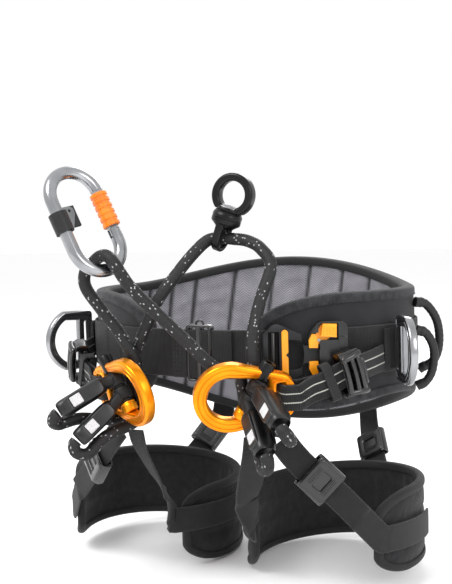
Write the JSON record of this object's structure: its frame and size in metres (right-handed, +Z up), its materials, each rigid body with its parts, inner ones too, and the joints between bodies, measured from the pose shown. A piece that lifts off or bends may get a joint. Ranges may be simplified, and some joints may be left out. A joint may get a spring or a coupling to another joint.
{
  "type": "tree climbing saddle",
  "caption": "Padded climbing waist belt with leg loops, side D-rings, gated rings joined by rope bridges, a swivel, a locking carabiner and a side-release waist buckle.",
  "frame": {"origin": "centre of the waist opening at the middle of the waist webbing", "axes": "+X is the wearer's left, -Y the front, +Z up"},
  "size_m": [0.3972, 0.3411, 0.3936],
  "materials": {
    "lining_mesh": "grey herringbone mesh",
    "shell_fabric": "charcoal woven fabric",
    "binding_tape": "black woven tape",
    "black_webbing": "black ribbed webbing",
    "tracer_webbing": "black webbing with two pale tracer lines",
    "strap_plastic": "moulded black, satin",
    "gear_tube": "moulded black tube",
    "casing_plastic": "moulded black, satin",
    "lever_orange": "yellow-orange, satin",
    "pin_steel": "turned",
    "tongue_plate": "grey anodised",
    "roller_black": "black, satin",
    "bright_aluminium": "polished forging",
    "gold_aluminium": "gold anodised, satin",
    "black_aluminium": "black anodised, satin",
    "spacer_plastic": "black",
    "rope_sheath": "black braid with small white flecks",
    "cover_plastic": "moulded charcoal rubbery plastic",
    "label_fabric": "white woven label, blank",
    "axle_steel": "ground",
    "sleeve_orange": "orange anodised",
    "clip_plastic": "moulded dark grey",
    "leg_fabric": "charcoal woven fabric"
  },
  "bodies": {
    "saddle": {"belt_lining_pad": "lining_mesh", "belt_outer_shell": "shell_fabric", "belt_binding_top": "binding_tape", "belt_binding_bottom": "binding_tape", "waist_webbing": "black_webbing", "d_ring_tabs": "black_webbing", "side_strap_right": "tracer_webbing", "side_strap_left": "tracer_webbing", "strap_buckle_right": "strap_plastic", "strap_buckle_left": "strap_plastic", "strap_keepers": "strap_plastic", "gear_loops_right": "gear_tube", "gear_loops_left": "gear_tube", "buckle_housing": "casing_plastic", "lever_pins": "pin_steel", "rope_bridge_swivel": "rope_sheath", "rope_bridge_carabiner": "rope_sheath", "leg_pad_right": "leg_fabric", "leg_pad_left": "leg_fabric", "leg_strap_outer_right": "black_webbing", "leg_strap_outer_left": "black_webbing", "leg_strap_inner_right": "black_webbing", "leg_strap_inner_left": "black_webbing", "leg_adjuster_right": "strap_plastic", "leg_adjuster_left": "strap_plastic", "rear_risers": "black_webbing", "riser_adjusters": "strap_plastic"},
    "front_strap": {"front_webbing": "black_webbing", "waist_slider": "strap_plastic", "buckle_tongue": "tongue_plate", "tongue_roller": "roller_black", "tongue_tab": "lever_orange"},
    "lever_upper": {"lever_upper": "lever_orange"},
    "lever_lower": {"lever_lower": "lever_orange"},
    "d_ring_right": {"d_ring_right": "bright_aluminium"},
    "d_ring_left": {"d_ring_left": "bright_aluminium"},
    "gated_ring_right": {"ring_body_right": "gold_aluminium", "bar_spacers_right": "spacer_plastic", "rope_eyes_right": "rope_sheath", "rope_covers_right": "cover_plastic", "cover_labels_right": "label_fabric"},
    "gated_ring_left": {"ring_body_left": "gold_aluminium", "bar_spacers_left": "spacer_plastic", "rope_eyes_left": "rope_sheath", "rope_covers_left": "cover_plastic", "cover_labels_left": "label_fabric"},
    "gate_bar_right": {"gate_bar_right": "black_aluminium"},
    "gate_bar_left": {"gate_bar_left": "black_aluminium"},
    "swivel_lower": {"swivel_fork": "black_aluminium", "swivel_bearing": "axle_steel"},
    "swivel_upper": {"swivel_eye": "black_aluminium", "swivel_axle": "axle_steel"},
    "carabiner": {"carabiner_body": "bright_aluminium", "gate_pin": "axle_steel", "position_bar": "clip_plastic"},
    "carabiner_gate": {"carabiner_gate": "bright_aluminium"},
    "carabiner_sleeve": {"carabiner_sleeve": "sleeve_orange"}
  },
  "joints": [
    {"name": "tongue_release", "type": "slide", "parent": "saddle", "child": "front_strap", "axis": [-0.8829, -0.4695, 0], "range_m": [0, 0.025]},
    {"name": "lever_upper_press", "type": "hinge", "parent": "saddle", "child": "lever_upper", "pos_m": [0.11153, -0.10559, 0.013], "axis": [-0.4695, 0.8829, 0], "range_deg": [0, 6], "stiffness_Nm_per_rad": 0.1},
    {"name": "lever_lower_press", "type": "hinge", "parent": "saddle", "child": "lever_lower", "pos_m": [0.11153, -0.10559, -0.013], "axis": [0.4695, -0.8829, 0], "range_deg": [0, 6], "stiffness_Nm_per_rad": 0.1},
    {"name": "d_ring_right_swing", "type": "hinge", "parent": "saddle", "child": "d_ring_right", "pos_m": [0.16913, -0.04258, 0], "axis": [0, 0, 1], "range_deg": [-20, 80]},
    {"name": "d_ring_left_swing", "type": "hinge", "parent": "saddle", "child": "d_ring_left", "pos_m": [-0.16913, -0.04258, 0], "axis": [0, 0, 1], "range_deg": [-80, 20]},
    {"name": "ring_right_swing", "type": "hinge", "parent": "saddle", "child": "gated_ring_right", "pos_m": [0.093, -0.1405, -0.0326], "axis": [0.1294, -0.2241, 0.9659], "range_deg": [-12, 12], "deforming": ["rope_bridge_swivel", "rope_bridge_carabiner"]},
    {"name": "ring_left_swing", "type": "hinge", "parent": "saddle", "child": "gated_ring_left", "pos_m": [-0.093, -0.1405, -0.0326], "axis": [-0.1294, -0.2241, 0.9659], "range_deg": [-12, 12]},
    {"name": "gate_bar_right_draw", "type": "slide", "parent": "gated_ring_right", "child": "gate_bar_right", "axis": [0.4991, 0.0201, 0.8663], "range_m": [0, 0.045]},
    {"name": "gate_bar_left_draw", "type": "slide", "parent": "gated_ring_left", "child": "gate_bar_left", "axis": [-0.4991, 0.0201, 0.8663], "range_m": [0, 0.045]},
    {"name": "swivel_rock", "type": "hinge", "parent": "saddle", "child": "swivel_lower", "pos_m": [0.017, -0.105, 0.106], "axis": [0.9426, 0, -0.3338], "range_deg": [-35, 35]},
    {"name": "swivel_spin", "type": "hinge", "parent": "swivel_lower", "child": "swivel_upper", "pos_m": [0.017, -0.105, 0.106], "axis": [0.3338, 0, 0.9426], "continuous": true},
    {"name": "carabiner_swing", "type": "hinge", "parent": "saddle", "child": "carabiner", "pos_m": [-0.067, -0.18, 0.092], "axis": [0.8202, -0.4179, 0.3906], "range_deg": [-25, 25]},
    {"name": "carabiner_gate_open", "type": "hinge", "parent": "carabiner", "child": "carabiner_gate", "pos_m": [-0.06669, -0.15729, 0.11495], "axis": [0.8202, -0.4179, 0.3906], "range_deg": [0, 20], "stiffness_Nm_per_rad": 0.1},
    {"name": "sleeve_turn", "type": "hinge", "parent": "carabiner_gate", "child": "carabiner_sleeve", "pos_m": [-0.07357, -0.15729, 0.12939], "axis": [-0.4299, 0, 0.9029], "range_deg": [0, 90], "stiffness_Nm_per_rad": 0.01}
  ]
}
